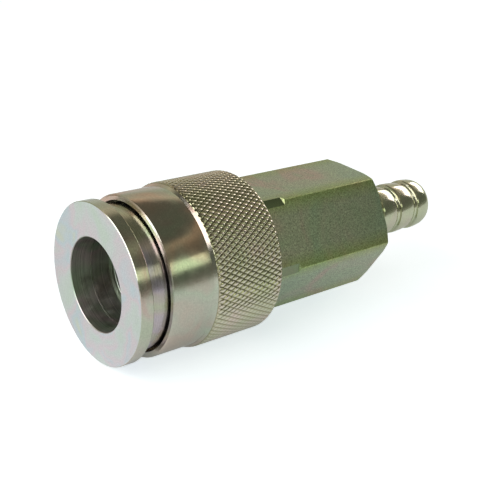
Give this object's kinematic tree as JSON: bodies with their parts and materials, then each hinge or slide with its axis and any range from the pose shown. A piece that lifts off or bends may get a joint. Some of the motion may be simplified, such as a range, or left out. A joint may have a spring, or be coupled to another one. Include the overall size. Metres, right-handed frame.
{
  "type": "quick disconnect coupler",
  "caption": "Female ball-lock quick disconnect coupler for air hose: flanged bore, knurled sliding sleeve, hex body and barbed hose tail.",
  "frame": {"origin": "under the middle of the coupler's box, on the surface that the knurled sleeve would lie on", "axes": "+X runs from the front face to the tip of the hose tail, +Z is the normal of the hexagon's top flat"},
  "size_m": [0.068, 0.0254, 0.0254],
  "materials": {
    "zinc_steel": "satin",
    "spring_steel": "satin",
    "ball_steel": "polished",
    "brass": "satin",
    "nitrile": "matte"
  },
  "bodies": {
    "body": {"nose_body": "zinc_steel", "hex_body": "zinc_steel", "plug_seal": "nitrile", "seal_washer": "spring_steel", "valve_seat": "brass", "seat_circlip": "spring_steel", "valve_guide": "brass", "body_seal": "nitrile", "sleeve_spring": "spring_steel", "valve_spring": "spring_steel"},
    "thrust_ring": {"thrust_washer": "spring_steel"},
    "sleeve": {"release_sleeve": "zinc_steel"},
    "poppet": {"valve_poppet": "brass", "poppet_seal": "nitrile"},
    "ball_1": {"lock_ball_1": "ball_steel"},
    "ball_2": {"lock_ball_2": "ball_steel"},
    "ball_3": {"lock_ball_3": "ball_steel"},
    "ball_4": {"lock_ball_4": "ball_steel"},
    "ball_5": {"lock_ball_5": "ball_steel"},
    "ball_6": {"lock_ball_6": "ball_steel"}
  },
  "joints": [
    {"name": "sleeve_slide", "type": "slide", "parent": "body", "child": "thrust_ring", "axis": [1, 0, 0], "range_m": [0, 0.004], "stiffness_N_per_m": 1500, "springref_m": -0.004, "deforming": ["sleeve_spring"]},
    {"name": "sleeve_spin", "type": "hinge", "parent": "thrust_ring", "child": "sleeve", "pos_m": [-0.02005, 0, 0.0127], "axis": [1, 0, 0], "continuous": true},
    {"name": "valve_slide", "type": "slide", "parent": "body", "child": "poppet", "axis": [1, 0, 0], "range_m": [0, 0.0035], "stiffness_N_per_m": 600, "springref_m": -0.005, "deforming": ["valve_spring"]},
    {"name": "ball_1_slide", "type": "slide", "parent": "body", "child": "ball_1", "axis": [0, 0.5, -0.866], "range_m": [0, 0.001]},
    {"name": "ball_2_slide", "type": "slide", "parent": "body", "child": "ball_2", "axis": [0, 1, 0], "range_m": [0, 0.001]},
    {"name": "ball_3_slide", "type": "slide", "parent": "body", "child": "ball_3", "axis": [0, 0.5, 0.866], "range_m": [0, 0.001]},
    {"name": "ball_4_slide", "type": "slide", "parent": "body", "child": "ball_4", "axis": [0, -0.5, 0.866], "range_m": [0, 0.001]},
    {"name": "ball_5_slide", "type": "slide", "parent": "body", "child": "ball_5", "axis": [0, -1, 0], "range_m": [0, 0.001]},
    {"name": "ball_6_slide", "type": "slide", "parent": "body", "child": "ball_6", "axis": [0, -0.5, -0.866], "range_m": [0, 0.001]}
  ],
  "couplings": [
    {"joint": "ball_1_slide", "follows": "sleeve_slide", "ratio": 0.25},
    {"joint": "ball_2_slide", "follows": "sleeve_slide", "ratio": 0.25},
    {"joint": "ball_3_slide", "follows": "sleeve_slide", "ratio": 0.25},
    {"joint": "ball_4_slide", "follows": "sleeve_slide", "ratio": 0.25},
    {"joint": "ball_5_slide", "follows": "sleeve_slide", "ratio": 0.25},
    {"joint": "ball_6_slide", "follows": "sleeve_slide", "ratio": 0.25}
  ]
}
